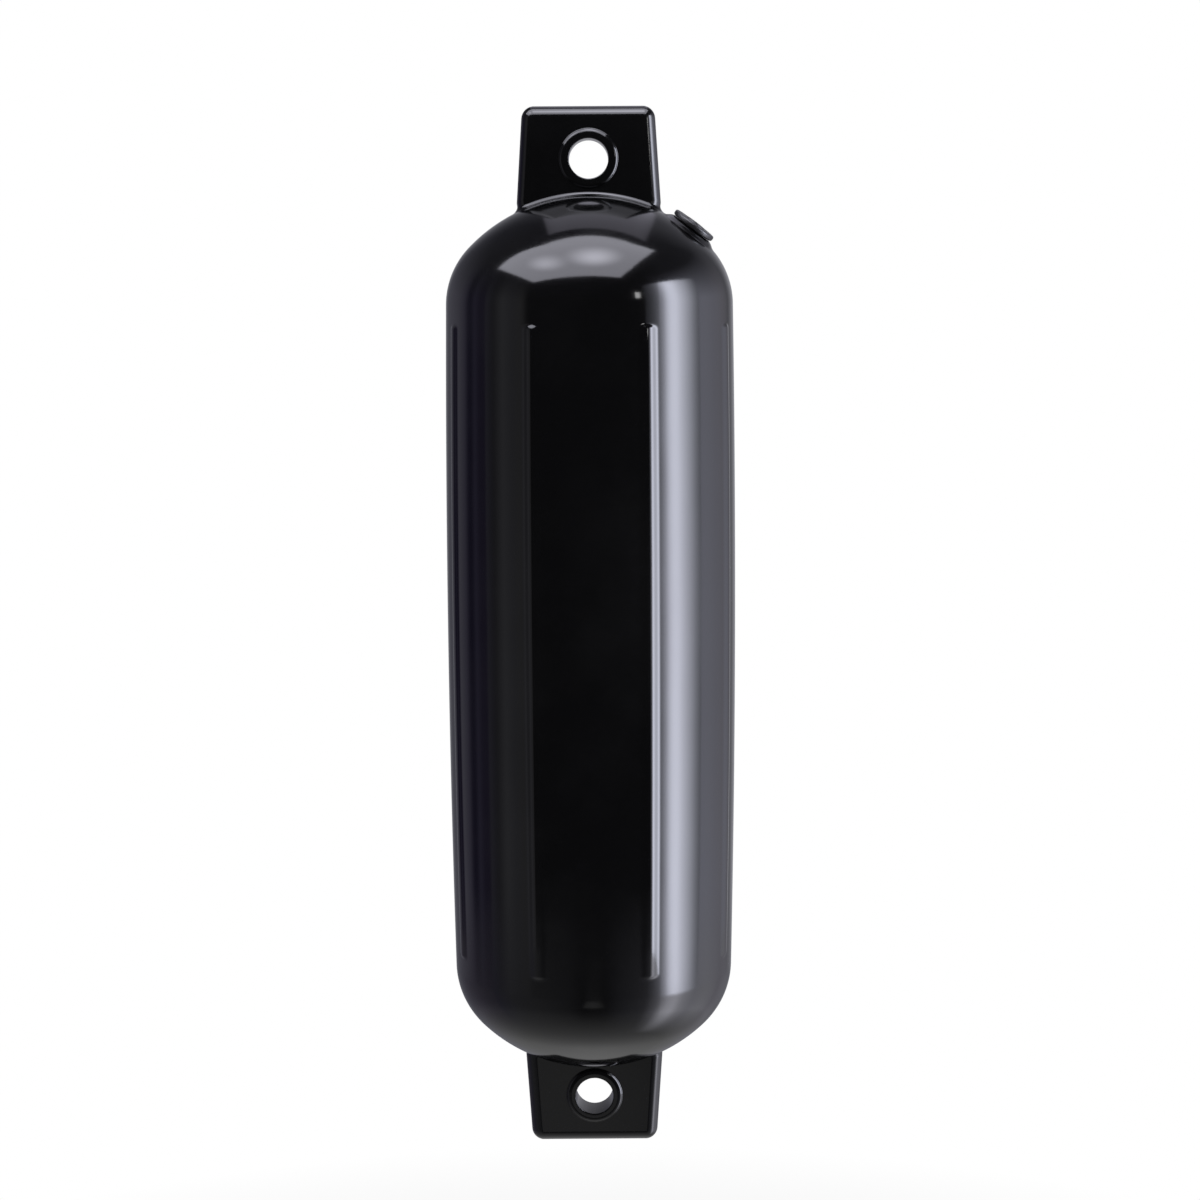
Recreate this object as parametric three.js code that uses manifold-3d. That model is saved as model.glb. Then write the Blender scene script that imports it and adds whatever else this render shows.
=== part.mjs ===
// Twin-eye pneumatic boat fender: an inflated vinyl shell with raised ribs along its barrel,
// a flat rope-eye tab moulded on each end, and an inflation valve let into the top shoulder.
// Millimetres, +Z up along the fender, the front towards -Y. The origin is the middle of the shell.
import * as THREE from "three";
import { mergeVertices } from "three/addons/utils/BufferGeometryUtils.js";
import Module from "manifold-3d";

const wasm = await Module();
wasm.setup();

// Shell: a slightly barrelled tube between two domes, each a corner arc and a flatter crown.
const barrelRadius = 69.9;
const barrelBulge = 1.5;
const barrelLength = 322.4;
const cornerRadius = 39;
const crownSlope = THREE.MathUtils.degToRad(46);
const shellWall = 3;

// Ribs: low rounded ridges with round ends, moulded solid on the barrel.
const ribCount = 8;
const ribHeight = 1.4;
const ribHalfWidth = 5.5;
const ribEndInset = 12.5;
const ribStations = 5;
const gapStations = 4;

// Rope-eye tabs: a slab with rounded edges that flares into the dome, and a collar round the eye.
const tabHeight = 41.3;
const tabEndHalfWidth = 31.2;
const tabRootHalfWidth = 33.9;
const tabThickness = 14;
const edgeRounding = 5.6;
const faceCornerRadius = 0.8;
const rootFillet = 2.4;
const rootDepth = 2.6;

const eyeRadius = 9.3;
const eyeFromEnd = 24.5;
const collarWidth = 4.5;
const collarRise = 1.4;
const collarRounding = 2.4;
const eyeSegments = 24;

// Inflation valve: a boss on the shoulder, a flanged insert, a seal ring and a slotted plug.
const valveAzimuth = THREE.MathUtils.degToRad(80);
const valveSlope = THREE.MathUtils.degToRad(37.5);
const fitGap = 0.3;
const bossWall = 2.9;
const bossRise = 1;
const bossDepth = 8.5;
const bossRounding = 0.8;
const stemRadius = 6.6;
const stemWall = 1;
const flangeRadius = 11;
const flangeThickness = 2.6;
const barbReach = 0.8;
const barbLength = 2.6;
const valveBore = 3.4;
const counterboreDepth = 3.6;
const sealThickness = 1;
const sealInset = 0.35;
const plugClearance = 0.4;
const plugHeadHeight = 2.4;
const plugHeadChamfer = 0.5;
const plugShankLength = 9.5;
const plugSlotMargin = 1.5;
const plugSlotWidth = 1.5;
const plugSlotDepth = 1.2;

const halfBarrel = barrelLength / 2;
const shoulderRadius = barrelRadius - barrelBulge;
const crownRim = shoulderRadius - cornerRadius * (1 - Math.sin(crownSlope));
const crownRadius = crownRim / Math.sin(crownSlope);
const crownRimZ = halfBarrel + cornerRadius * Math.cos(crownSlope);
const crownTopZ = crownRimZ + crownRadius * (1 - Math.cos(crownSlope));
const tabEndZ = crownTopZ + tabHeight;
const eyeZ = tabEndZ - eyeFromEnd;
const ribCrestEnd = halfBarrel - ribEndInset;
const tabEdge = Math.min(edgeRounding, 0.45 * tabThickness);
const collarEdge = Math.min(collarRounding, 0.45 * collarWidth);
const counterboreRadius = stemRadius - stemWall;
const plugHeadRadius = counterboreRadius - plugClearance;
const plugShankRadius = valveBore - plugClearance;
const sealFloor = flangeThickness + fitGap - counterboreDepth;

// Solids

// A closed three.js geometry as a manifold solid: shared vertices merged, collapsed triangles dropped.
function solidOf(geometry) {
  const bare = geometry.index ? geometry.toNonIndexed() : geometry.clone();
  bare.deleteAttribute("normal");
  bare.deleteAttribute("uv");
  const merged = mergeVertices(bare, 1e-4);
  const corners = merged.index.array;
  const kept = [];
  for (let i = 0; i < corners.length; i += 3) {
    const [a, b, c] = [corners[i], corners[i + 1], corners[i + 2]];
    if (a !== b && b !== c && c !== a) kept.push(a, b, c);
  }
  return new wasm.Manifold(
    new wasm.Mesh({
      numProp: 3,
      vertProperties: merged.attributes.position.array,
      triVerts: new Uint32Array(kept),
    }),
  );
}

// The other way round: a manifold solid as a flat-shaded geometry.
function geometryOf(solid) {
  const mesh = solid.getMesh();
  const shared = new THREE.BufferGeometry();
  shared.setAttribute("position", new THREE.BufferAttribute(mesh.vertProperties, 3));
  shared.setIndex(new THREE.BufferAttribute(mesh.triVerts, 1));
  const flat = shared.toNonIndexed();
  flat.computeVertexNormals();
  return flat;
}

// A profile of [radius, height] points turned round the Z axis, starting at the front.
function turned(profile, segments) {
  const points = profile.map(([radius, height]) => new THREE.Vector2(radius, height));
  return new THREE.LatheGeometry(points, segments).rotateX(Math.PI / 2);
}

// Points on an arc from one angle to the other, both ends included, as [radius, height].
function arc(centreR, centreZ, radius, from, to, steps) {
  return Array.from({ length: steps + 1 }, (_, i) => {
    const angle = from + ((to - from) * i) / steps;
    return [centreR + radius * Math.cos(angle), centreZ + radius * Math.sin(angle)];
  });
}

// Rings of equal point counts skinned into one closed solid, each end closed by a fan.
function loft(rings) {
  const count = rings[0].length;
  const centres = [rings[0], rings[rings.length - 1]].map((ring) =>
    ring.reduce((sum, p) => sum.add(p), new THREE.Vector3()).divideScalar(count),
  );
  const triangles = [];
  for (let k = 0; k < count; k++) {
    const next = (k + 1) % count;
    triangles.push(centres[0], rings[0][next], rings[0][k]);
    for (let i = 0; i + 1 < rings.length; i++) {
      triangles.push(rings[i][k], rings[i][next], rings[i + 1][next]);
      triangles.push(rings[i][k], rings[i + 1][next], rings[i + 1][k]);
    }
    triangles.push(centres[1], rings[rings.length - 1][k], rings[rings.length - 1][next]);
  }
  return new THREE.BufferGeometry().setFromPoints(triangles);
}

// Shell

// Height of the upper dome's surface at a distance from the axis, on the crown or the corner.
function domeHeight(radius) {
  if (radius < crownRim) return crownTopZ - crownRadius + Math.sqrt(crownRadius ** 2 - radius ** 2);
  return halfBarrel + Math.sqrt(cornerRadius ** 2 - (radius - shoulderRadius + cornerRadius) ** 2);
}

// Distance from the axis at which the dome slopes down by an angle.
function domeReach(slope) {
  if (slope < crownSlope) return crownRadius * Math.sin(slope);
  return shoulderRadius - cornerRadius * (1 - Math.sin(slope));
}

function barrelRadiusAt(z) {
  return barrelRadius - barrelBulge * (z / halfBarrel) ** 2;
}

// How far a rib stands out at an arc distance from its centre line: a bell with a round end.
function ribRise(arcDistance, z) {
  const pastEnd = Math.max(0, Math.abs(z) - ribCrestEnd);
  const distance = Math.hypot(arcDistance, pastEnd) / ribHalfWidth;
  return distance < 1 ? (ribHeight * (1 + Math.cos(Math.PI * distance))) / 2 : 0;
}

// The upper half of the shell's profile from the middle to the pole, inset by a wall.
function upperProfile(inset, stations, cornerSteps, crownSteps) {
  const barrel = stations.map((z) => [barrelRadiusAt(z) - inset, z]);
  const cornerR = shoulderRadius - cornerRadius;
  const tangent = Math.PI / 2 - crownSlope;
  const corner = arc(cornerR, halfBarrel, cornerRadius - inset, 0, tangent, cornerSteps);
  const crownZ = crownTopZ - crownRadius;
  const crown = arc(0, crownZ, crownRadius - inset, tangent, Math.PI / 2, crownSteps);
  crown[crownSteps][0] = 0;
  return [...barrel, ...corner, ...crown.slice(1)];
}

// Mirrors an upper half profile below the middle, so that it runs from pole to pole.
function wholeProfile(upper) {
  const lower = upper.slice(1).map(([radius, z]) => [radius, -z]);
  return [...lower.reverse(), ...upper];
}

// The azimuth of a lathe step: close together over each rib, wider in the gap to the next.
function stationAzimuth(step) {
  const perRib = ribStations + gapStations;
  const pitch = (2 * Math.PI) / ribCount;
  const halfAngle = ribHalfWidth / barrelRadius;
  const rib = Math.floor(step / perRib);
  const station = step - rib * perRib;
  const centre = (rib + 0.5) * pitch;
  if (station < ribStations) {
    return centre + halfAngle * ((2 * station) / (ribStations - 1) - 1);
  }
  const gap = pitch - 2 * halfAngle;
  return centre + halfAngle + (gap * (station - ribStations + 1)) / (gapStations + 1);
}

// The outside of the shell: a turned barrel whose skin is pushed out along each rib.
function ribbedHull() {
  const endSteps = 4;
  const ends = Array.from({ length: endSteps + 1 }, (_, i) => ribCrestEnd + (ribHalfWidth * i) / endSteps);
  const upper = upperProfile(0, [0, ribCrestEnd / 2, ...ends], 5, 6);
  const segments = ribCount * (ribStations + gapStations);
  const hull = turned(wholeProfile(upper), segments);
  const position = hull.attributes.position;
  const pitch = (2 * Math.PI) / ribCount;
  for (let i = 0; i < position.count; i++) {
    const [x, y, z] = [position.getX(i), position.getY(i), position.getZ(i)];
    const step = Math.round((Math.atan2(x, -y) / (2 * Math.PI)) * segments);
    const azimuth = stationAzimuth((step + segments) % segments);
    const offRib = ((azimuth + pitch) % pitch) - pitch / 2;
    const grown = Math.hypot(x, y) + ribRise(offRib * barrelRadius, z);
    position.setXYZ(i, grown * Math.sin(azimuth), -grown * Math.cos(azimuth), z);
  }
  return solidOf(hull);
}

// The air space inside, plain and round: the ribs are solid thickenings of the wall.
function airSpace() {
  const upper = upperProfile(shellWall, [0, halfBarrel / 2], 4, 5);
  return solidOf(turned(wholeProfile(upper), 40));
}

// Rope-eye tab

// Half width of the tab at a height: it widens towards the shell.
function tabHalfWidth(z) {
  const slope = (tabRootHalfWidth - tabEndHalfWidth) / tabHeight;
  return tabEndHalfWidth + (tabEndZ - z) * slope;
}

// The tab's outline, inset all round apart from its foot, which stays buried in the shell.
function tabOutline(inset) {
  const foot = domeHeight(tabRootHalfWidth) - rootDepth;
  const top = tabEndZ - inset;
  const round = faceCornerRadius;
  const footX = tabHalfWidth(foot) - inset;
  const topX = tabHalfWidth(top) - inset;
  const outline = new THREE.Shape();
  outline.moveTo(-footX, foot);
  outline.lineTo(footX, foot);
  outline.lineTo(topX, top - round);
  outline.quadraticCurveTo(topX, top, topX - round, top);
  outline.lineTo(-topX + round, top);
  outline.quadraticCurveTo(-topX, top, -topX, top - round);
  outline.closePath();
  return outline;
}

// The slab, lying in the XZ plane, with its edges rounded over on both faces.
function tabSlab() {
  const depth = tabThickness - 2 * tabEdge;
  const geometry = new THREE.ExtrudeGeometry(tabOutline(tabEdge), {
    depth,
    curveSegments: 3,
    bevelThickness: tabEdge,
    bevelSize: tabEdge,
    bevelSegments: 4,
  });
  return solidOf(geometry.rotateX(Math.PI / 2).translate(0, depth / 2, 0));
}

// Solid of revolution about the eye's axis from a closed [radius, across] profile.
function aroundEye(profile, segments) {
  return solidOf(turned(profile, segments).rotateX(Math.PI / 2).translate(0, 0, eyeZ));
}

// The thick round-lipped collar that the rope bears on.
function eyeCollar() {
  const half = tabThickness / 2 + collarRise - collarEdge;
  const inner = eyeRadius + collarEdge;
  const outer = eyeRadius + collarWidth - collarEdge;
  const lip = (centre, across, from) => arc(centre, across, collarEdge, from, from + Math.PI / 2, 2);
  const loop = [
    ...lip(outer, -half, -Math.PI / 2),
    ...lip(outer, half, 0),
    ...lip(inner, half, Math.PI / 2),
    ...lip(inner, -half, Math.PI),
  ];
  return aroundEye([...loop, loop[0]], eyeSegments);
}

// The hole through the slab, wide enough to leave the collar its own rounded lip.
function eyeHole() {
  const radius = eyeRadius + collarWidth / 2;
  const half = tabThickness;
  const profile = [
    [0, -half],
    [radius, -half],
    [radius, half],
    [0, half],
  ];
  return aroundEye(profile, eyeSegments);
}

// The tab's section at its root as points with outward directions, in the XY plane.
function rootSection() {
  const steps = 4;
  const sideSteps = 6;
  const halfX = tabRootHalfWidth - tabEdge;
  const halfY = tabThickness / 2 - tabEdge;
  const points = [];
  const corner = (cx, cy, from) => {
    for (let i = 0; i <= steps; i++) {
      const angle = from + (Math.PI / 2) * (i / steps);
      const out = new THREE.Vector2(Math.cos(angle), Math.sin(angle));
      points.push({ at: new THREE.Vector2(cx, cy).addScaledVector(out, tabEdge), out });
    }
  };
  const side = (cy, outY) => {
    for (let i = 1; i < sideSteps; i++) {
      const x = outY * halfX * (1 - (2 * i) / sideSteps);
      points.push({ at: new THREE.Vector2(x, cy), out: new THREE.Vector2(0, outY) });
    }
  };
  corner(halfX, halfY, 0);
  side(halfY + tabEdge, 1);
  corner(-halfX, halfY, Math.PI / 2);
  corner(-halfX, -halfY, Math.PI);
  side(-halfY - tabEdge, -1);
  corner(halfX, -halfY, 1.5 * Math.PI);
  return points;
}

// The concave fillet where the tab grows out of the crown.
function rootBlend() {
  const buried = 1.5;
  const steps = 5;
  const section = rootSection();
  const ring = (spread, rise) =>
    section.map(({ at, out }) => {
      const p = at.clone().addScaledVector(out, spread);
      return new THREE.Vector3(p.x, p.y, domeHeight(p.length()) + rise);
    });
  const rings = [ring(rootFillet, -buried)];
  for (let i = 0; i <= steps; i++) {
    const angle = (Math.PI / 2) * (i / steps);
    rings.push(ring(rootFillet * (1 - Math.sin(angle)), rootFillet * (1 - Math.cos(angle))));
  }
  return solidOf(loft(rings));
}

// One end's tab, drawn on the upper end.
function ropeEyeTab() {
  return tabSlab().add(rootBlend()).subtract(eyeHole()).add(eyeCollar());
}

// Valve, in its own frame: Z out of the shoulder, 0 on top of the boss

const valveReach = domeReach(valveSlope);
const valveSeat = new THREE.Matrix4()
  .makeRotationZ(valveAzimuth)
  .multiply(new THREE.Matrix4().makeTranslation(0, -valveReach, domeHeight(valveReach)))
  .multiply(new THREE.Matrix4().makeRotationX(valveSlope))
  .multiply(new THREE.Matrix4().makeTranslation(0, 0, bossRise));

// The boss: a round pad outside and a sleeve inside, both part of the moulding.
function valveBoss() {
  const bossRadius = stemRadius + fitGap + bossWall;
  const shoulder = arc(bossRadius - bossRounding, -bossRounding, bossRounding, 0, Math.PI / 2, 3);
  const profile = [[0, -bossDepth], [bossRadius, -bossDepth], ...shoulder, [0, 0]];
  return solidOf(turned(profile, 36).applyMatrix4(valveSeat));
}

// The hole through the boss for the insert's stem.
function valveHole() {
  const radius = stemRadius + fitGap;
  const profile = [
    [0, -2 * bossDepth],
    [radius, -2 * bossDepth],
    [radius, bossRise],
    [0, bossRise],
  ];
  return solidOf(turned(profile, 32).applyMatrix4(valveSeat));
}

// The flanged insert: it seats on the boss, and its barb snaps in behind the sleeve.
function valveInsert() {
  const top = fitGap + flangeThickness;
  const round = flangeThickness / 2;
  const barbTop = -bossDepth - fitGap;
  const edge = arc(flangeRadius - round, fitGap + round, round, -Math.PI / 2, Math.PI / 2, 5);
  const profile = [
    [valveBore, barbTop - barbLength],
    [stemRadius - barbReach, barbTop - barbLength],
    [stemRadius + barbReach, barbTop],
    [stemRadius, barbTop],
    [stemRadius, fitGap],
    ...edge,
    [counterboreRadius, top],
    [counterboreRadius, top - counterboreDepth],
    [valveBore, top - counterboreDepth],
    [valveBore, barbTop - barbLength],
  ];
  return turned(profile, 32);
}

// The soft seal ring under the plug's head.
function sealRing() {
  const middle = (valveBore + plugHeadRadius) / 2;
  const half = sealThickness / 2;
  const width = (plugHeadRadius - valveBore) / 2 - sealInset;
  const centreZ = sealFloor + fitGap + half;
  const loop = Array.from({ length: 9 }, (_, i) => {
    const angle = (2 * Math.PI * i) / 8;
    return [middle + width * Math.cos(angle), centreZ + half * Math.sin(angle)];
  });
  return turned(loop, 28);
}

// The plug: a slotted head, a plain shank and a tapered tip, all on one axis.
function valvePlug() {
  const under = sealFloor + 2 * fitGap + sealThickness;
  const top = under + plugHeadHeight;
  const tip = under - plugShankLength;
  const profile = [
    [0, tip],
    [plugShankRadius / 2, tip],
    [plugShankRadius, tip + plugShankRadius],
    [plugShankRadius, under],
    [plugHeadRadius - plugHeadChamfer, under],
    [plugHeadRadius, under + plugHeadChamfer],
    [plugHeadRadius, top - plugHeadChamfer],
    [plugHeadRadius - plugHeadChamfer, top],
    [0, top],
  ];
  const slotLength = 2 * (plugHeadRadius - plugSlotMargin);
  const slot = new THREE.BoxGeometry(slotLength, plugSlotWidth, 2 * plugSlotDepth);
  const head = solidOf(turned(profile, 28));
  return geometryOf(head.subtract(solidOf(slot.translate(0, 0, top))));
}

// Whole moulding: the shell and both tabs, hollowed, with the valve's boss grown into it
function fenderBody() {
  const upperTab = ropeEyeTab();
  const lowerTab = upperTab.rotate([180, 0, 0]);
  const outside = ribbedHull().add(upperTab).add(lowerTab);
  const shell = outside.subtract(airSpace());
  return geometryOf(shell.add(valveBoss()).subtract(valveHole()));
}

// Materials and scene graph

const vinyl = new THREE.MeshStandardMaterial({ color: 0x0c0c0e, roughness: 0.12, metalness: 0 });
const nylon = new THREE.MeshStandardMaterial({ color: 0x141416, roughness: 0.4, metalness: 0 });
const rubber = new THREE.MeshStandardMaterial({ color: 0x1b1b1c, roughness: 0.75, metalness: 0 });

function piece(name, geometry, material) {
  const mesh = new THREE.Mesh(geometry, material);
  mesh.name = name;
  return mesh;
}

const fender = new THREE.Group();
fender.name = "pneumatic_fender";
fender.add(piece("fender_body", fenderBody(), vinyl));

const valve = new THREE.Group();
valve.name = "inflation_valve";
valve.applyMatrix4(valveSeat);
valve.add(piece("valve_insert", valveInsert(), nylon));
valve.add(piece("seal_ring", sealRing(), rubber));
valve.add(piece("valve_plug", valvePlug(), nylon));
fender.add(valve);

export default fender;
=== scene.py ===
import math

import bmesh
import bpy
from mathutils import Matrix, Vector


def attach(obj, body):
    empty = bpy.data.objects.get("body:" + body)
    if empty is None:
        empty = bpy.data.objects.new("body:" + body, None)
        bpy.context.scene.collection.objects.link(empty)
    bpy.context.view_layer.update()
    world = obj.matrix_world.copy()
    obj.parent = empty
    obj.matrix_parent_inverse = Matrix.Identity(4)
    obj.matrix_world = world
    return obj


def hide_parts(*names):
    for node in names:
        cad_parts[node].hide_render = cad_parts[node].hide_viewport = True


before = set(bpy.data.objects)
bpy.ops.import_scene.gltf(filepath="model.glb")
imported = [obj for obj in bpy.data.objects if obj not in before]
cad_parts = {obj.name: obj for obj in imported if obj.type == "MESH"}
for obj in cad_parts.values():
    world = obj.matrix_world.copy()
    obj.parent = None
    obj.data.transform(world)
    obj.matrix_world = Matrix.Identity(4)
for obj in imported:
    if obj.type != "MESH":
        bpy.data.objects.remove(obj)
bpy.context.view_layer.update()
scene = bpy.context.scene
scene.view_settings.view_transform = "Standard"
mm = 0.001
tiny = 1e-3  # millimetres, for finding and merging points that lie together

# The moulding is lofted as one skin, from the barrel's middle ring up to the tab's end. Sizes are in
# millimetres and follow the solids, but the ribs stand lower here, 0.9 instead of 1.4
body = {
    "barrelRadius": 69.9,
    "barrelBulge": 1.5,
    "halfBarrel": 161.2,
    "cornerRadius": 39.0,
    "crownSlope": math.radians(46),
    "barrelRings": 10,
    "ribEndRings": 16,
    "shoulderRings": 22,
    "crownRings": 30,
    "filletRings": 8,
    "tabRings": 24,
    "edgeRings": 8,
}
rib = {
    "count": 8,
    "height": 0.9,
    "halfWidth": 5.5,
    "crestEnd": 150.6,  # the crest is level up to here, and its tip is endLength long
    "endLength": 2.6,
    "spread": 1.12,  # a ring's close points reach this much past the rib's foot
    "ringPoints": 22,
    "gapPoints": 18,
}
tab = {
    "height": 41.3,
    "endHalfWidth": 31.2,
    "rootHalfWidth": 33.9,
    "halfThickness": 7.0,
    "edge": 5.6,
    "rootFillet": 2.4,
    "flatShare": 0.72,  # the shares of a quarter turn where the section's flat and its rounding end
    "arcShare": 0.95,
    "openBelow": 6.0,  # the flat faces start up to this far under the crown's top
    "flatBelow": 4.0,  # and are shaded flat from this far under it
    "facing": 0.6,  # where the normal already leans this much towards the face
}

shoulderRadius = body["barrelRadius"] - body["barrelBulge"]
cornerCentre = shoulderRadius - body["cornerRadius"]
crownRim = cornerCentre + body["cornerRadius"] * math.sin(body["crownSlope"])
crownRadius = crownRim / math.sin(body["crownSlope"])
crownRimZ = body["halfBarrel"] + body["cornerRadius"] * math.cos(body["crownSlope"])
crownTop = crownRimZ + crownRadius * (1 - math.cos(body["crownSlope"]))
tabEnd = crownTop + tab["height"]


def newObject(name, bm):
    bmesh.ops.transform(bm, matrix=Matrix.Scale(mm, 4), verts=bm.verts)
    for face in bm.faces:
        face.smooth = True
    mesh = bpy.data.meshes.new(name)
    bm.to_mesh(mesh)
    bm.free()
    made = bpy.data.objects.new(name, mesh)
    scene.collection.objects.link(made)
    return made


def smoothStep(t):
    t = min(1.0, max(0.0, t))
    return t * t * (3 - 2 * t)


# The height of the end's surface at a distance from the fender's axis
def domeHeight(radius):
    if radius < crownRim:
        return crownTop - crownRadius + math.sqrt(crownRadius**2 - radius**2)
    return body["halfBarrel"] + math.sqrt(body["cornerRadius"] ** 2 - (radius - cornerCentre) ** 2)


# The turns of a ring's points: close together over each rib, wider in the gaps
def ringTurns():
    pitch = 2 * math.pi / rib["count"]
    reach = rib["spread"] * rib["halfWidth"] / body["barrelRadius"]
    turns = []
    for k in range(rib["count"]):
        start = (k + 0.5) * pitch - reach
        turns += [start + 2 * reach * step / rib["ringPoints"] for step in range(rib["ringPoints"])]
        gap = pitch - 2 * reach
        turns += [start + 2 * reach + gap * step / rib["gapPoints"] for step in range(rib["gapPoints"])]
    return sorted(turn % (2 * math.pi) for turn in turns)


def barrelPoint(turn, z):
    pitch = 2 * math.pi / rib["count"]
    offRib = (turn % pitch) - pitch / 2
    pastEnd = max(0.0, z - rib["crestEnd"]) * rib["halfWidth"] / rib["endLength"]
    away = math.hypot(offRib * body["barrelRadius"], pastEnd) / rib["halfWidth"]
    rise = rib["height"] * (1 + math.cos(math.pi * away)) / 2 if away < 1 else 0.0
    radius = body["barrelRadius"] - body["barrelBulge"] * (z / body["halfBarrel"]) ** 2 + rise
    return Vector((radius * math.sin(turn), -radius * math.cos(turn), z))


def shoulderPoint(turn, slope):
    radius = cornerCentre + body["cornerRadius"] * math.sin(slope)
    z = body["halfBarrel"] + body["cornerRadius"] * math.cos(slope)
    return Vector((radius * math.sin(turn), -radius * math.cos(turn), z))


# A point of the tab's rounded section and its outward direction, by the turn of its ring point
def sectionPoint(turn, halfWidth):
    halfThick, edge = tab["halfThickness"], tab["edge"]
    sideX = 1 if math.sin(turn) >= 0 else -1
    sideY = -1 if math.cos(turn) >= 0 else 1
    quarter = math.pi / 2
    share = math.asin(min(1.0, abs(math.sin(turn)))) / quarter  # 0 at the face's middle, 1 at the side
    flat, flank = halfWidth - edge, halfThick - edge
    if share <= tab["flatShare"]:
        return Vector((sideX * flat * share / tab["flatShare"], sideY * halfThick)), Vector((0, sideY))
    if share <= tab["arcShare"]:
        angle = quarter * (share - tab["flatShare"]) / (tab["arcShare"] - tab["flatShare"])
        out = Vector((sideX * math.sin(angle), sideY * math.cos(angle)))
        return Vector((sideX * flat, sideY * flank)) + out * edge, out
    down = flank * (1 - share) / (1 - tab["arcShare"])
    return Vector((sideX * halfWidth, sideY * down)), Vector((sideX, 0))


def rootPoint(turn, spread, rise):
    at, out = sectionPoint(turn, tab["rootHalfWidth"])
    spot = at + out * spread
    return Vector((spot.x, spot.y, domeHeight(spot.length) + rise))


def filletPoint(turn, angle):
    fillet = tab["rootFillet"]
    return rootPoint(turn, fillet * (1 - math.sin(angle)), fillet * (1 - math.cos(angle)))


def crownPoint(turn, share):
    circle = Vector((crownRim * math.sin(turn), -crownRim * math.cos(turn)))
    root = rootPoint(turn, tab["rootFillet"], 0)
    spot = circle.lerp(Vector((root.x, root.y)), share)
    return Vector((spot.x, spot.y, domeHeight(spot.length)))


def tabHalfWidth(z):
    return tab["endHalfWidth"] + (tabEnd - z) * (tab["rootHalfWidth"] - tab["endHalfWidth"]) / tab["height"]


def tabPoint(turn, share):
    foot = rootPoint(turn, 0, tab["rootFillet"])
    z = foot.z + (tabEnd - tab["edge"] - foot.z) * share
    at, out = sectionPoint(turn, tabHalfWidth(z))
    return Vector((at.x, at.y, z))


def endPoint(turn, angle):
    inset = tab["edge"] * (1 - math.cos(angle))
    z = tabEnd - tab["edge"] + tab["edge"] * math.sin(angle)
    at, out = sectionPoint(turn, tabHalfWidth(z))
    return Vector((at.x - out.x * inset, at.y - out.y * inset, z))


def skinRings():
    rings = []
    for step in range(body["barrelRings"] + 1):
        rings.append((barrelPoint, rib["crestEnd"] * step / body["barrelRings"]))
    for step in range(1, body["ribEndRings"] + 1):
        reach = body["halfBarrel"] - rib["crestEnd"]
        rings.append((barrelPoint, rib["crestEnd"] + reach * step / body["ribEndRings"]))
    for step in range(1, body["shoulderRings"] + 1):
        slope = math.pi / 2 - (math.pi / 2 - body["crownSlope"]) * step / body["shoulderRings"]
        rings.append((shoulderPoint, slope))
    for step in range(1, body["crownRings"] + 1):
        rings.append((crownPoint, step / body["crownRings"]))
    for step in range(1, body["filletRings"] + 1):
        rings.append((filletPoint, math.pi / 2 * step / body["filletRings"]))
    for step in range(1, body["tabRings"] + 1):
        rings.append((tabPoint, step / body["tabRings"]))
    for step in range(1, body["edgeRings"] + 1):
        rings.append((endPoint, math.pi / 2 * step / body["edgeRings"]))
    return rings


# The moulded boss under the valve: a soft mound in the shoulder
boss = {
    "azimuth": math.radians(80),
    "slope": math.radians(37.5),
    "topRadius": 9.8,
    "footRadius": 14.5,
    "rise": 1.0,
}


# The place on the shoulder where the valve's axis comes out, lifted by rise
def valveSeat(rise):
    radius = crownRadius * math.sin(boss["slope"])
    z = domeHeight(radius)
    turn = Matrix.Rotation(boss["azimuth"], 4, "Z")
    tilt = Matrix.Rotation(boss["slope"], 4, "X")
    return turn @ Matrix.Translation((0, -radius, z)) @ tilt @ Matrix.Translation((0, 0, rise))


def raiseBoss(bm):
    seat = valveSeat(0)
    axis = (seat.to_3x3() @ Vector((0, 0, 1))).normalized()
    foot, top = boss["footRadius"], boss["topRadius"]
    for vert in bm.verts:
        offset = vert.co - seat.translation
        along = offset.dot(axis)
        away = (offset - axis * along).length
        if away < foot and abs(along) < foot:
            vert.co += axis * (boss["rise"] - along) * smoothStep((foot - away) / (foot - top))


# Extrudes an open loop through a row of places and returns the last loop's edges
def drawRings(bm, loop, edges, places):
    for place in places:
        made = bmesh.ops.extrude_edge_only(bm, edges=edges)["geom"]
        edges = [g for g in made if isinstance(g, bmesh.types.BMEdge)]
        fresh = {g for g in made if isinstance(g, bmesh.types.BMVert)}
        loop = [next(e.other_vert(v) for e in v.link_edges if e.other_vert(v) in fresh) for v in loop]
        for index, vert in enumerate(loop):
            vert.co = place(index)
    return edges


# The rope eye, with its raised collar: flank, level crest and rounded mouth
eye = {
    "radius": 9.3,
    "fromEnd": 24.5,
    "collar": 4.5,
    "rise": 1.4,
    "crest": 11.4,
    "foot": 0.4,
    "flankStart": 0.12,  # the flank leaves the tab at this share of its quarter turn
    "mouth": 0.5,
    "steps": 10,
}


def collarProfile():
    steps, mouth, face = eye["steps"], eye["mouth"], tab["halfThickness"]
    crest, outer = eye["crest"], eye["radius"] + eye["collar"]
    profile = [(outer + eye["foot"], face)]
    for step in range(steps + 1):  # the outer flank, from the foot up to the crest
        angle = math.pi / 2 * (eye["flankStart"] + (1 - eye["flankStart"]) * step / steps)
        profile.append((crest + (outer - crest) * math.cos(angle), face + eye["rise"] * math.sin(angle)))
    for step in range(steps + 1):  # the level crest rounds over into the bore
        angle = math.pi / 2 * step / steps
        radius = eye["radius"] + mouth * (1 - math.sin(angle))
        profile.append((radius, face + eye["rise"] - mouth * (1 - math.cos(angle))))
    return profile


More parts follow.
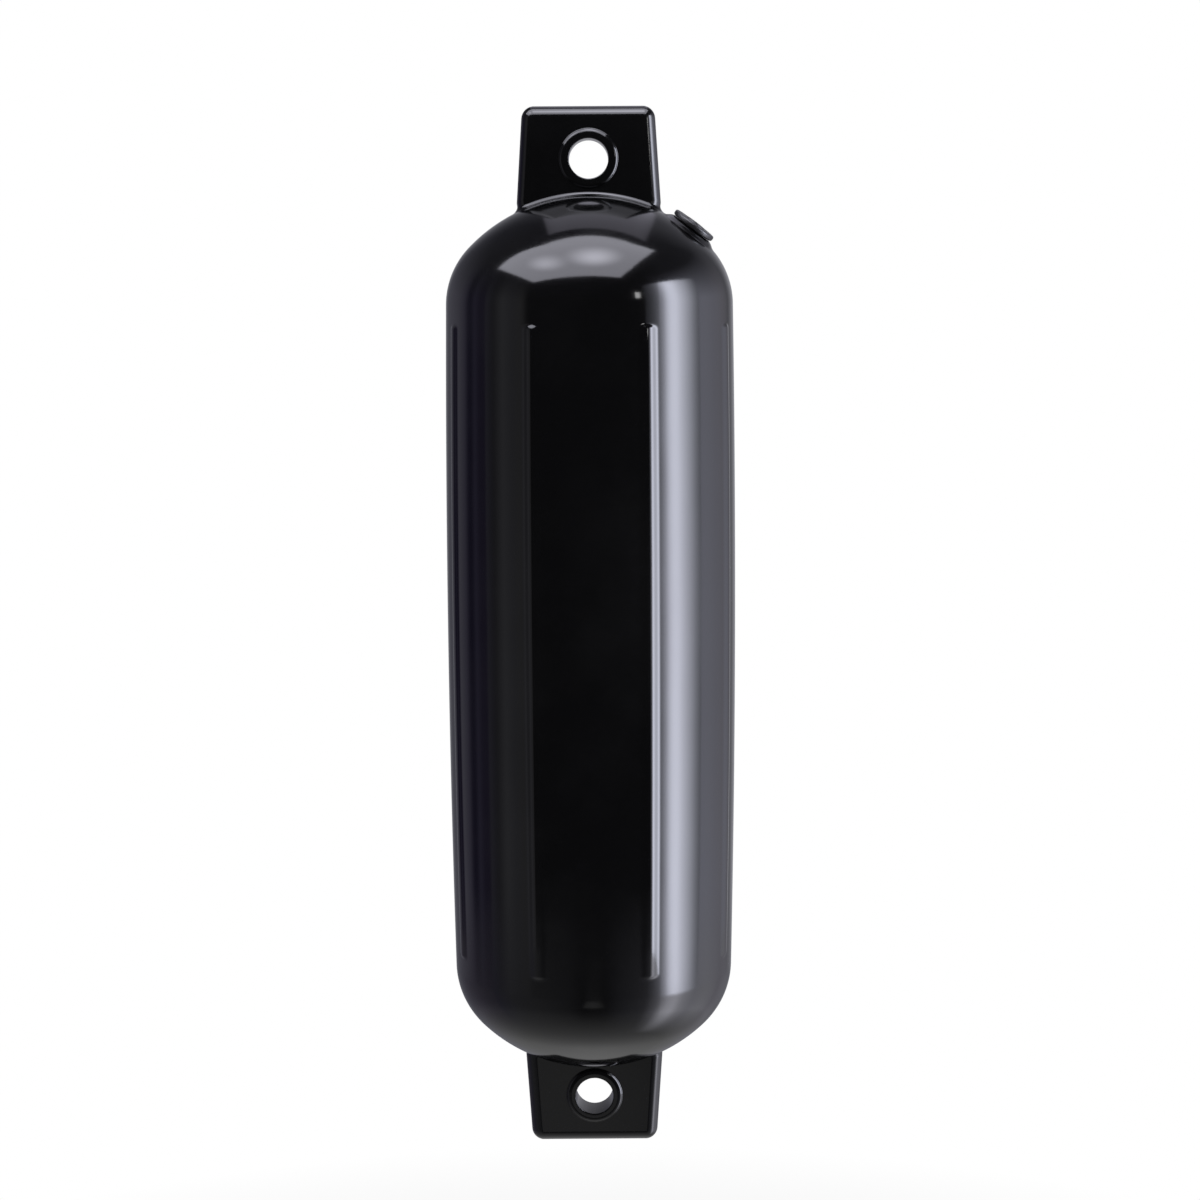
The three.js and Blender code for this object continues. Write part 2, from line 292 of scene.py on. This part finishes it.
# Opens the tab's flat faces and carries the front one's edge in over the collar and through the eye
def cutEye(bm):
    half = tab["halfThickness"]
    eyeHeight = tabEnd - eye["fromEnd"]
    flatTop = tabEnd - tab["edge"] + tiny
    gone = [
        face
        for face in bm.faces
        if all(abs(abs(v.co.y) - half) < tiny and v.co.z < flatTop for v in face.verts)
        and face.calc_center_median().z > crownTop - tab["openBelow"]
    ]
    bmesh.ops.delete(bm, geom=gone, context="FACES")
    rim = [v for v in bm.verts if v.is_boundary and abs(v.co.y + half) < tiny]
    loop = sorted(rim, key=lambda v: math.atan2(v.co.z - eyeHeight, v.co.x))
    edges = [e for e in bm.edges if e.is_boundary and e.verts[0] in rim and e.verts[1] in rim]
    angles = [math.atan2(v.co.z - eyeHeight, v.co.x) for v in loop]
    corners = [v.co.copy() for v in loop]
    collar = collarProfile()
    through = [(radius, -across) for radius, across in collar] + collar[::-1]

    def ring(radius, across):
        spokes = [Vector((math.cos(angle), 0, math.sin(angle))) for angle in angles]
        return lambda k: spokes[k] * radius + Vector((0, across, eyeHeight))

    places = [ring(radius, across) for radius, across in through]
    places.append(lambda k: Vector((corners[k].x, half, corners[k].z)))
    drawRings(bm, loop, edges, places)
    bmesh.ops.remove_doubles(bm, verts=bm.verts, dist=tiny)


def fenderSkin():
    bm = bmesh.new()
    turns = ringTurns()
    rings = skinRings()
    bmesh.ops.create_circle(bm, segments=len(turns), radius=body["barrelRadius"])
    loop = sorted(bm.verts, key=lambda v: math.atan2(v.co.x, -v.co.y) % (2 * math.pi))
    edges = list(bm.edges)
    for vert, turn in zip(loop, turns):
        vert.co = rings[0][0](turn, rings[0][1])
    places = [lambda k, place=place, value=value: place(turns[k], value) for place, value in rings[1:]]
    edges = drawRings(bm, loop, edges, places)
    bmesh.ops.holes_fill(bm, edges=edges, sides=0)
    cutEye(bm)
    other = bmesh.ops.duplicate(bm, geom=bm.verts[:] + bm.edges[:] + bm.faces[:])["geom"]
    lower = [g for g in other if isinstance(g, bmesh.types.BMVert)]
    bmesh.ops.rotate(bm, verts=lower, cent=(0, 0, 0), matrix=Matrix.Rotation(math.pi, 3, "X"))
    bmesh.ops.remove_doubles(bm, verts=bm.verts, dist=tiny)
    raiseBoss(bm)
    bmesh.ops.recalc_face_normals(bm, faces=bm.faces)
    skin = newObject("fender_skin", bm)
    flatten(skin.data)
    return skin


# The tabs' flat faces shade flat right up to their rounded edges
def flatten(mesh):
    normals = [vert.normal.copy() for vert in mesh.vertices]
    for vert, normal in zip(mesh.vertices, normals):
        onFace = abs(abs(vert.co.y) / mm - tab["halfThickness"]) < tiny
        onTab = abs(vert.co.z) > (crownTop - tab["flatBelow"]) * mm
        if onFace and onTab and abs(normal.y) > tab["facing"]:
            normal[:] = (0, math.copysign(1, vert.co.y), 0)
    mesh.normals_split_custom_set_from_vertices(normals)


# Valve pieces, spun about the valve's own axis and then set into the shoulder
def spunPiece(name, profile, around, seat, closed):
    bm = bmesh.new()
    verts = [bm.verts.new((radius, 0, z)) for radius, z in profile]
    edges = [bm.edges.new(pair) for pair in zip(verts, verts[1:])]
    if closed:
        edges.append(bm.edges.new((verts[-1], verts[0])))
    bmesh.ops.spin(bm, geom=verts + edges, cent=(0, 0, 0), axis=(0, 0, 1), angle=2 * math.pi,
                   steps=around, use_merge=True, use_duplicate=False)
    bmesh.ops.remove_doubles(bm, verts=bm.verts, dist=tiny)
    bmesh.ops.recalc_face_normals(bm, faces=bm.faces)
    bmesh.ops.transform(bm, matrix=seat, verts=bm.verts)
    return newObject(name, bm)


# The points of a quarter circle in a profile, from its start in degrees
def roundCorner(centreR, centreZ, radius, start):
    steps = 5
    angles = [math.radians(start + 90 * step / steps) for step in range(steps + 1)]
    return [(centreR + radius * math.cos(a), centreZ + radius * math.sin(a)) for a in angles]


valve = {
    "gap": 0.3,
    "flangeRadius": 11.0,
    "flangeThickness": 2.6,
    "edge": 0.9,
    "stemRadius": 6.6,
    "stemLength": 11.0,
    "wellRadius": 5.6,
    "wellDepth": 3.6,
    "lipEdge": 0.35,
    "lipWidth": 1.6,
    "bore": 3.4,
    "around": 96,
}


def valveInsert():
    low, top = valve["gap"], valve["gap"] + valve["flangeThickness"]
    stemEnd, wellFloor = low - valve["stemLength"], top - valve["wellDepth"]
    edge, lip = valve["edge"], valve["lipEdge"]
    lipRadius, lipZ = valve["wellRadius"] + lip, top - lip
    profile = [
        (valve["bore"], stemEnd),
        (valve["stemRadius"], stemEnd),
        (valve["stemRadius"], low),
        *roundCorner(valve["flangeRadius"] - edge, low + edge, edge, -90),
        *roundCorner(valve["flangeRadius"] - edge, top - edge, edge, 0),
        (valve["wellRadius"] + valve["lipWidth"], top),
        *[(lipRadius - lip * math.sin(a), lipZ + lip * math.cos(a)) for a in (0, 0.5, 1.0, math.pi / 2)],
        (valve["wellRadius"], wellFloor),
        (valve["bore"], wellFloor),
    ]
    return spunPiece("valve_flange", profile, valve["around"], valveSeat(boss["rise"]), True)


seal = {"thickness": 1.0, "inset": 0.35, "sides": 16, "around": 64}


def sealRing(floor):
    middle = (valve["bore"] + plug["headRadius"]) / 2
    width = (plug["headRadius"] - valve["bore"]) / 2 - seal["inset"]
    half = seal["thickness"] / 2
    centre = floor + valve["gap"] + half
    angles = [2 * math.pi * k / seal["sides"] for k in range(seal["sides"])]
    profile = [(middle + width * math.cos(a), centre + half * math.sin(a)) for a in angles]
    return spunPiece("seal", profile, seal["around"], valveSeat(boss["rise"]), True)


plug = {
    "headRadius": 5.2,
    "headHeight": 2.4,
    "edge": 0.5,
    "shankRadius": 3.0,
    "shankLength": 9.5,
    "slotWidth": 1.5,
    "slotMargin": 1.5,
    "slotDepth": 1.2,
    "slotCorner": 0.7,
    "around": 64,
}


def valvePlug(floor):
    under = floor + 2 * valve["gap"] + seal["thickness"]
    top = under + plug["headHeight"]
    edge = plug["edge"]
    tip = under - plug["shankLength"]
    profile = [
        (0, tip),
        (plug["shankRadius"] / 2, tip),
        (plug["shankRadius"], tip + plug["shankRadius"]),
        (plug["shankRadius"], under),
        *roundCorner(plug["headRadius"] - edge, under + edge, edge, -90),
        *roundCorner(plug["headRadius"] - edge, top - edge, edge, 0),
        (0, top),
    ]
    seat = valveSeat(boss["rise"])
    made = spunPiece("plug", profile, plug["around"], seat, False)
    bm = bmesh.new()
    bmesh.ops.create_cube(bm, size=1)
    reach = 2 * (plug["headRadius"] - plug["slotMargin"])
    bmesh.ops.scale(bm, vec=(reach, plug["slotWidth"], 2 * plug["slotDepth"]), verts=bm.verts)
    bmesh.ops.translate(bm, vec=(0, 0, top), verts=bm.verts)
    upright = [e for e in bm.edges if abs(e.verts[0].co.z - e.verts[1].co.z) > plug["slotDepth"]]
    bmesh.ops.bevel(bm, geom=upright, affect="EDGES", offset=plug["slotCorner"], segments=6,
                    profile=0.5, material=-1)
    bmesh.ops.transform(bm, matrix=seat, verts=bm.verts)
    cutter = newObject("slotCutter", bm)
    cut = made.modifiers.new("slot", "BOOLEAN")
    cut.object, cut.operation, cut.solver = cutter, "DIFFERENCE", "EXACT"
    depsgraph = bpy.context.evaluated_depsgraph_get()
    done = bpy.data.meshes.new_from_object(made.evaluated_get(depsgraph))
    made.modifiers.clear()
    made.data = done
    bpy.data.objects.remove(cutter)
    return made


# Materials
def nodeTree(name):
    material = bpy.data.materials.new(name)
    material.use_nodes = True
    nodes, links = material.node_tree.nodes, material.node_tree.links
    return material, nodes, links, nodes["Principled BSDF"]


def ramp(nodes, links, source, low, high):
    made = nodes.new("ShaderNodeMapRange")
    made.inputs["From Min"].default_value, made.inputs["From Max"].default_value = low
    made.inputs["To Min"].default_value, made.inputs["To Max"].default_value = high
    links.new(source, made.inputs["Value"])
    return made.outputs["Result"]


# Slow waviness of a blown or rotomoulded skin, fine grain and rubbed patches, as one group
mouldedNoise = {
    "waveDetail": 1,
    "grainDetail": 2,
    "rubDetail": 5,
    "rubRoughness": 0.6,
    "rubSpan": (0.42, 0.72),  # the noise values where the rubbing sets in and is full
    "inputs": {"Wave Scale": 30, "Grain Scale": 900, "Rub Scale": 14, "Grain": 0.1,
               "Rough Low": 0.1, "Rough High": 0.2},
}


def mouldedSkinGroup():
    group = bpy.data.node_groups.new("mouldedSkin", "ShaderNodeTree")
    face = group.interface
    for name, value in mouldedNoise["inputs"].items():
        face.new_socket(name, in_out="INPUT", socket_type="NodeSocketFloat").default_value = value
    face.new_socket("Roughness", in_out="OUTPUT", socket_type="NodeSocketFloat")
    face.new_socket("Height", in_out="OUTPUT", socket_type="NodeSocketFloat")
    face.new_socket("Rub", in_out="OUTPUT", socket_type="NodeSocketFloat")
    nodes, links = group.nodes, group.links
    take, give = nodes.new("NodeGroupInput"), nodes.new("NodeGroupOutput")
    place = nodes.new("ShaderNodeTexCoord").outputs["Object"]
    wave = nodes.new("ShaderNodeTexNoise")
    wave.inputs["Detail"].default_value = mouldedNoise["waveDetail"]
    grain = nodes.new("ShaderNodeTexNoise")
    grain.inputs["Detail"].default_value = mouldedNoise["grainDetail"]
    rub = nodes.new("ShaderNodeTexNoise")
    rub.inputs["Detail"].default_value = mouldedNoise["rubDetail"]
    rub.inputs["Roughness"].default_value = mouldedNoise["rubRoughness"]
    for made, name in ((wave, "Wave Scale"), (grain, "Grain Scale"), (rub, "Rub Scale")):
        links.new(place, made.inputs["Vector"])
        links.new(take.outputs[name], made.inputs["Scale"])
    weigh = nodes.new("ShaderNodeMath")
    weigh.operation = "MULTIPLY_ADD"
    links.new(grain.outputs["Fac"], weigh.inputs[0])
    links.new(take.outputs["Grain"], weigh.inputs[1])
    links.new(wave.outputs["Fac"], weigh.inputs[2])
    rubbed = ramp(nodes, links, rub.outputs["Fac"], mouldedNoise["rubSpan"], (0, 1))
    spread = nodes.new("ShaderNodeMapRange")
    links.new(rubbed, spread.inputs["Value"])
    links.new(take.outputs["Rough Low"], spread.inputs["To Min"])
    links.new(take.outputs["Rough High"], spread.inputs["To Max"])
    links.new(spread.outputs["Result"], give.inputs["Roughness"])
    links.new(weigh.outputs["Value"], give.inputs["Height"])
    links.new(rubbed, give.inputs["Rub"])
    return group


mouldedSkin = mouldedSkinGroup()


def mouldedMaterial(name, finish):
    material, nodes, links, shader = nodeTree(name)
    skin = nodes.new("ShaderNodeGroup")
    skin.node_tree = mouldedSkin
    for key, value in finish["skin"].items():
        skin.inputs[key].default_value = value
    tint = nodes.new("ShaderNodeMix")
    tint.data_type = "RGBA"
    tint.inputs["A"].default_value = (*finish["colour"], 1)
    tint.inputs["B"].default_value = (*finish["rubbed"], 1)
    links.new(skin.outputs["Rub"], tint.inputs["Factor"])
    links.new(tint.outputs["Result"], shader.inputs["Base Color"])
    links.new(skin.outputs["Roughness"], shader.inputs["Roughness"])
    bump = nodes.new("ShaderNodeBump")
    bump.inputs["Distance"].default_value = finish["depth"]
    bump.inputs["Strength"].default_value = 1
    links.new(skin.outputs["Height"], bump.inputs["Height"])
    links.new(bump.outputs["Normal"], shader.inputs["Normal"])
    shader.inputs["IOR"].default_value = 1.5
    return material


vinylFinish = {
    "colour": (0.0035, 0.0035, 0.0042),
    "rubbed": (0.007, 0.007, 0.008),
    "depth": 0.00012,
    "skin": {"Wave Scale": 26, "Grain Scale": 1100, "Rub Scale": 12, "Grain": 0.012,
             "Rough Low": 0.09, "Rough High": 0.15},
}
nylonFinish = {
    "colour": (0.02, 0.02, 0.022),
    "rubbed": (0.04, 0.04, 0.042),
    "depth": 0.00005,
    "skin": {"Wave Scale": 120, "Grain Scale": 2600, "Rub Scale": 60, "Grain": 0.4,
             "Rough Low": 0.3, "Rough High": 0.42},
}
sealFinish = {
    "colour": (0.012, 0.012, 0.012),
    "rubbed": (0.02, 0.02, 0.02),
    "depth": 0.00004,
    "skin": {"Wave Scale": 200, "Grain Scale": 3000, "Rub Scale": 90, "Grain": 0.5,
             "Rough Low": 0.6, "Rough High": 0.75},
}
glossVinyl = mouldedMaterial("glossBlackVinyl", vinylFinish)
satinNylon = mouldedMaterial("satinBlackNylon", nylonFinish)
softSeal = mouldedMaterial("mattSealRubber", sealFinish)


def dress(piece, material, node):
    piece.data.materials.clear()
    piece.data.materials.append(material)
    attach(piece, "root")
    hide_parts(node)


wellFloor = valve["gap"] + valve["flangeThickness"] - valve["wellDepth"]
dress(fenderSkin(), glossVinyl, "fender_body")
print("fender skin done")
dress(valveInsert(), satinNylon, "valve_insert")
dress(sealRing(wellFloor), softSeal, "seal_ring")
dress(valvePlug(wellFloor), satinNylon, "valve_plug")
print("valve done")

# Studio: camera, lamps, reflectors and floor
shot = {
    "distance": 1.1,
    "height": 0.16,
    "aim": (0.004, 0, -0.0101),
    "roll": math.radians(-0.35),
    "spanAtAxis": 0.5799,  # metres across the photograph's frame at the fender's axis
    "shiftY": 0.05,
    "sensor": 36,
}


def addCamera():
    data = bpy.data.cameras.new("photoCamera")
    data.sensor_width = shot["sensor"]
    data.lens = shot["sensor"] * shot["distance"] / shot["spanAtAxis"]
    data.shift_y = shot["shiftY"]
    made = bpy.data.objects.new("photoCamera", data)
    made.location = (0, -shot["distance"], shot["height"])
    aim = Vector(shot["aim"]) - made.location
    level = aim.to_track_quat("-Z", "Y").to_matrix()
    made.rotation_euler = (level @ Matrix.Rotation(shot["roll"], 3, "Z")).to_euler()
    scene.collection.objects.link(made)
    scene.camera = made


# A flat panel of the studio, facing a point
def panel(name, centre, width, height, towards=(0, 0, 0)):
    bm = bmesh.new()
    bmesh.ops.create_grid(bm, x_segments=1, y_segments=1, size=0.5)
    bmesh.ops.scale(bm, vec=(width, height, 1), verts=bm.verts)
    mesh = bpy.data.meshes.new(name)
    bm.to_mesh(mesh)
    bm.free()
    made = bpy.data.objects.new(name, mesh)
    made.location = centre
    face = Vector(towards) - Vector(centre)
    made.rotation_euler = face.to_track_quat("Z", "Y").to_euler()
    scene.collection.objects.link(made)
    return made


# A plain emission material, on an object that only gloss mirrors
def glowOnly(made, name):
    material = bpy.data.materials.new(name)
    material.use_nodes = True
    nodes, links = material.node_tree.nodes, material.node_tree.links
    nodes.clear()
    glow = nodes.new("ShaderNodeEmission")
    out = nodes.new("ShaderNodeOutputMaterial")
    links.new(glow.outputs["Emission"], out.inputs["Surface"])
    made.data.materials.append(material)
    made.visible_camera = False
    made.visible_shadow = False
    made.visible_diffuse = False
    made.visible_transmission = False
    return nodes, links, glow


# A softbox that only reflections see. Its levels are (share of the width, brightness) pairs, and its
# spots are soft round hot spots: place across and up it, radius and extra brightness
def reflector(name, centre, width, height, tint, levels, towards=(0, 0, 0), spots=()):
    made = panel(name, centre, width, height, towards)
    nodes, links, glow = glowOnly(made, name)
    glow.inputs["Color"].default_value = (*tint, 1)
    place = nodes.new("ShaderNodeTexCoord").outputs["Object"]
    split = nodes.new("ShaderNodeSeparateXYZ")
    links.new(place, split.inputs[0])
    share = ramp(nodes, links, split.outputs["X"], (-width / 2, width / 2), (0, 1))
    curve = nodes.new("ShaderNodeFloatCurve")
    points = curve.mapping.curves[0].points
    top = max(level for spot, level in levels)
    for spot, level in levels[1:-1]:
        points.new(spot, level / top)
    for point, (spot, level) in zip(points, levels):
        point.location = (spot, level / top)
    curve.mapping.update()
    links.new(share, curve.inputs["Value"])
    brightness = ramp(nodes, links, curve.outputs["Value"], (0, 1), (0, top))
    for spotX, spotY, radius, extra in spots:
        away = nodes.new("ShaderNodeVectorMath")
        away.operation = "DISTANCE"
        away.inputs[1].default_value = (spotX, spotY, 0)
        links.new(place, away.inputs[0])
        near = ramp(nodes, links, away.outputs["Value"], (radius, 0), (0, extra))
        near.node.interpolation_type = "SMOOTHSTEP"
        both = nodes.new("ShaderNodeMath")
        links.new(brightness, both.inputs[0])
        links.new(near, both.inputs[1])
        brightness = both.outputs["Value"]
    links.new(brightness, glow.inputs["Strength"])


# A lamp that lights the fender and isn't mirrored in it
def lamp(name, centre, width, height, level):
    data = bpy.data.lights.new(name, "AREA")
    data.shape = "RECTANGLE"
    data.size, data.size_y = width, height
    data.energy = level * math.pi * width * height
    made = bpy.data.objects.new(name, data)
    made.location = centre
    made.rotation_euler = (-Vector(centre)).to_track_quat("-Z", "Y").to_euler()
    made.visible_camera = False
    made.visible_glossy = False
    scene.collection.objects.link(made)


# The dim room that the gloss mirrors. Its colours go by the compass, where 0 is the left, 0.25 the
# front, 0.5 the right and 0.75 the back
room = {
    "walls": [
        (0.0, (0.13, 0.125, 0.17)),
        (0.015, (0.085, 0.083, 0.11)),
        (0.026, (0.08, 0.078, 0.09)),
        (0.05, (0.21, 0.21, 0.23)),
        (0.075, (0.16, 0.16, 0.18)),
        (0.098, (0.165, 0.162, 0.165)),
        (0.112, (0.02, 0.02, 0.02)),
        (0.385, (0.02, 0.02, 0.02)),
        (0.5, (1.25, 1.27, 1.55)),
        (0.54, (0.96, 0.97, 1.16)),
        (0.57, (0.68, 0.68, 0.81)),
        (0.61, (0.4, 0.39, 0.45)),
        (0.65, (0.16, 0.16, 0.18)),
        (0.69, (0.3, 0.3, 0.33)),
        (0.75, (0.28, 0.28, 0.3)),
        (0.82, (0.1, 0.1, 0.12)),
        (0.9, (0.17, 0.165, 0.21)),
        (0.925, (0.13, 0.12, 0.18)),
        (0.94, (0.03, 0.025, 0.06)),
        (0.952, (0.03, 0.025, 0.06)),
        (0.965, (0.1, 0.09, 0.16)),
        (0.98, (0.055, 0.045, 0.095)),
    ],
    "floor": [
        (0.0, (0.1, 0.095, 0.14)),
        (0.06, (0.13, 0.13, 0.145)),
        (0.12, (0.12, 0.12, 0.125)),
        (0.19, (0.08, 0.08, 0.085)),
        (0.225, (0.02, 0.02, 0.02)),
        (0.275, (0.02, 0.02, 0.02)),
        (0.31, (0.1, 0.1, 0.115)),
        (0.37, (0.2, 0.2, 0.225)),
        (0.4, (0.8, 0.8, 0.9)),
        (0.425, (2.7, 2.7, 3.0)),
        (0.445, (3.0, 3.0, 3.35)),
        (0.47, (1.7, 1.7, 1.9)),
        (0.5, (1.1, 1.1, 1.25)),
        (0.54, (0.9, 0.9, 1.0)),
        (0.6, (0.4, 0.39, 0.45)),
        (0.68, (0.16, 0.16, 0.18)),
        (0.82, (0.1, 0.1, 0.12)),
        (0.92, (0.12, 0.11, 0.15)),
    ],
    "ceiling": [
        (0.0, (0.04, 0.04, 0.05)),
        (0.125, (0.03, 0.03, 0.04)),
        (0.38, (0.02, 0.02, 0.02)),
        (0.45, (0.05, 0.05, 0.06)),
        (0.6, (0.05, 0.05, 0.06)),
        (0.66, (0.13, 0.13, 0.15)),
        (0.75, (0.12, 0.12, 0.14)),
        (0.83, (0.04, 0.04, 0.05)),
        (0.9, (0.05, 0.05, 0.06)),
    ],
    "dark": (0.02, 0.02, 0.02),  # the floor before its own colours set in
    "strength": 1.5,
    "radius": 3.2,
    "floorZ": -0.605,
    "centreY": 0.05,  # the spot on the floor from which the next distances are measured
    "underLight": 0.55,  # the pale patch below the fender and the stretch over which it grows
    "underSpan": (0.85, 0.05),
    "floorFrom": (0.25, 0.6),  # how far out the floor's colours set in, and then the walls'
    "wallsFrom": (1.3, 1.8),
    "rise": (0.5, 2.0),  # the heights between which the walls turn into the ceiling
}


def studioRoom():
    bm = bmesh.new()
    bmesh.ops.create_uvsphere(bm, u_segments=48, v_segments=24, radius=room["radius"])
    for vert in bm.verts:
        vert.co.z = max(vert.co.z, room["floorZ"])
    mesh = bpy.data.meshes.new("room")
    bm.to_mesh(mesh)
    bm.free()
    made = bpy.data.objects.new("room", mesh)
    scene.collection.objects.link(made)
    nodes, links, glow = glowOnly(made, "roomWalls")
    place = nodes.new("ShaderNodeTexCoord").outputs["Object"]
    compass = nodes.new("ShaderNodeTexGradient")
    compass.gradient_type = "RADIAL"
    links.new(place, compass.inputs["Vector"])
    split = nodes.new("ShaderNodeSeparateXYZ")
    links.new(place, split.inputs[0])
    rings = []
    for stops in (room["floor"], room["walls"], room["ceiling"]):
        colours = nodes.new("ShaderNodeValToRGB")
        for spot, colour in stops[1:-1]:
            colours.color_ramp.elements.new(spot)
        for element, (spot, colour) in zip(colours.color_ramp.elements, stops):
            element.position = spot
            element.color = (*colour, 1)
        links.new(compass.outputs["Fac"], colours.inputs["Fac"])
        rings.append(colours.outputs["Color"])
    away = nodes.new("ShaderNodeVectorMath")
    away.operation = "DISTANCE"
    away.inputs[1].default_value = (0, room["centreY"], room["floorZ"])
    links.new(place, away.inputs[0])
    out = away.outputs["Value"]
    colour = None
    measures = (out, out, split.outputs["Z"])
    for ring, measure, span in zip(rings, measures, ("floorFrom", "wallsFrom", "rise")):
        blend = nodes.new("ShaderNodeMix")
        blend.data_type = "RGBA"
        links.new(ramp(nodes, links, measure, room[span], (0, 1)), blend.inputs["Factor"])
        blend.inputs["A"].default_value = (*room["dark"], 1)
        if colour:
            links.new(colour, blend.inputs["A"])
        links.new(ring, blend.inputs["B"])
        colour = blend.outputs["Result"]
    near = ramp(nodes, links, out, room["underSpan"], (0, 1))
    falloff = nodes.new("ShaderNodeMath")
    falloff.operation = "POWER"
    falloff.inputs[1].default_value = 2
    links.new(near, falloff.inputs[0])
    under = ramp(nodes, links, falloff.outputs["Value"], (0, 1), (0, room["underLight"]))
    add = nodes.new("ShaderNodeMix")
    add.data_type, add.blend_type = "RGBA", "ADD"
    add.inputs["Factor"].default_value = 1
    links.new(colour, add.inputs["A"])
    links.new(under, add.inputs["B"])
    links.new(add.outputs["Result"], glow.inputs["Color"])
    glow.inputs["Strength"].default_value = room["strength"]


# 1 for the rays that show the background, from the camera, a gloss or through glass
def showsBackground(nodes, links):
    path = nodes.new("ShaderNodeLightPath")
    seen = nodes.new("ShaderNodeMath")
    seen.operation = "MAXIMUM"
    links.new(path.outputs["Is Camera Ray"], seen.inputs[0])
    links.new(path.outputs["Is Glossy Ray"], seen.inputs[1])
    through = nodes.new("ShaderNodeMath")
    through.operation = "MAXIMUM"
    links.new(seen.outputs["Value"], through.inputs[0])
    links.new(path.outputs["Is Transmission Ray"], through.inputs[1])
    return through.outputs["Value"]


fillLevel = 0.5  # of the even white light that falls on the object from all round


def studioWorld():
    world = bpy.data.worlds.new("studio")
    scene.world = world
    world.use_nodes = True
    nodes, links = world.node_tree.nodes, world.node_tree.links
    nodes.clear()
    fill = nodes.new("ShaderNodeBackground")
    fill.inputs["Strength"].default_value = fillLevel
    white = nodes.new("ShaderNodeBackground")
    mix = nodes.new("ShaderNodeMixShader")
    out = nodes.new("ShaderNodeOutputWorld")
    for made, socket in ((fill, 1), (white, 2)):
        made.inputs["Color"].default_value = (1, 1, 1, 1)
        links.new(made.outputs["Background"], mix.inputs[socket])
    links.new(showsBackground(nodes, links), mix.inputs["Fac"])
    links.new(mix.outputs["Shader"], out.inputs["Surface"])


# A pale floor that keeps the shadow near the fender and runs out into the white
floorPlan = {
    "z": -0.62,
    "size": 14.0,
    "colour": (0.86, 0.86, 0.87),
    "roughness": 0.6,
    "whiteUnder": 0.6,  # how much of the floor is plain white below the fender, and all of it past fade
    "keep": 0.45,
    "fade": 0.95,
}


def addFloor():
    made = panel("floor", (0, 0, floorPlan["z"]), floorPlan["size"], floorPlan["size"])
    material, nodes, links, shader = nodeTree("paleFloor")
    shader.inputs["Base Color"].default_value = (*floorPlan["colour"], 1)
    shader.inputs["Roughness"].default_value = floorPlan["roughness"]
    place = nodes.new("ShaderNodeTexCoord").outputs["Object"]
    length = nodes.new("ShaderNodeVectorMath")
    length.operation = "LENGTH"
    links.new(place, length.inputs[0])
    span = (floorPlan["keep"], floorPlan["fade"])
    away = ramp(nodes, links, length.outputs["Value"], span, (floorPlan["whiteUnder"], 1))
    share = nodes.new("ShaderNodeMath")
    share.operation = "MULTIPLY"
    links.new(away, share.inputs[0])
    links.new(showsBackground(nodes, links), share.inputs[1])
    white = nodes.new("ShaderNodeEmission")
    mix = nodes.new("ShaderNodeMixShader")
    links.new(share.outputs["Value"], mix.inputs["Fac"])
    links.new(shader.outputs["BSDF"], mix.inputs[1])
    links.new(white.outputs["Emission"], mix.inputs[2])
    links.new(mix.outputs["Shader"], nodes["Material Output"].inputs["Surface"])
    made.data.materials.append(material)


def polar(azimuth, distance, z):
    turn = math.radians(azimuth)
    return (distance * math.sin(turn), -distance * math.cos(turn), z)


lamps = {
    "keyLamp": {"centre": polar(60, 1.6, 0.9), "width": 0.9, "height": 0.9, "level": 1.0},
    "topLamp": {"centre": (-0.2, -0.4, 1.5), "width": 1.2, "height": 1.0, "level": 0.7},
}
softboxes = {
    "tallSoftbox": {  # the broad band down the right side
        "centre": polar(69.5, 1.25, 0.07),
        "width": 1.2,
        "height": 1.35,
        "tint": (0.92, 0.945, 1.1),
        "levels": [(0, 1.2), (0.09, 2.2), (0.155, 3.2), (0.22, 4.6), (0.28, 6), (0.34, 7.6), (0.4, 9.4),
                   (0.455, 11.4), (0.51, 12.8), (0.555, 12.9), (0.6, 11.8), (0.65, 9), (0.695, 5.6),
                   (0.74, 3.2), (0.79, 1.8), (0.86, 1), (1, 0.3)],
    },
    "overheadSoftbox": {  # the arched window of light on the upper shoulder
        "centre": (-0.33, -0.525, 1.05),
        "towards": (-0.33, -0.525, 0),
        "width": 1.82,
        "height": 1.19,
        "tint": (0.95, 0.95, 1.07),
        "levels": [(0, 4.3), (1, 4.5)],
        "spots": [(0.195, 0.055, 0.34, 4), (-0.385, 0.105, 0.36, 6)],
    },
    "backBounce": {  # overhead, behind the fender
        "centre": (0.07, 0.9, 1.05),
        "towards": (0.07, 0.9, 0),
        "width": 0.72,
        "height": 1.4,
        "tint": (0.95, 0.93, 1.1),
        "levels": [(0, 0.3), (0.12, 0.75), (0.88, 0.75), (1, 0.3)],
    },
    "lowGlow": {  # the faint mark low on the front
        "centre": (0, -1.05, -0.6),
        "towards": (0, -1.05, 0),
        "width": 0.3,
        "height": 0.4,
        "tint": (1, 1, 1),
        "levels": [(0, 0), (0.3, 0.25), (0.6, 0.32), (1, 0)],
    },
    "spotLamp": {  # the dot of light at the upper right
        "centre": polar(37.5, 1.3, 0.44),
        "towards": (0, 0, 0.17),
        "width": 0.1,
        "height": 0.16,
        "tint": (1, 1, 1),
        "levels": [(0, 8), (1, 8)],
    },
}

addCamera()
studioWorld()
addFloor()
studioRoom()
for name, values in lamps.items():
    lamp(name, **values)
for name, values in softboxes.items():
    reflector(name, **values)
print("studio done")
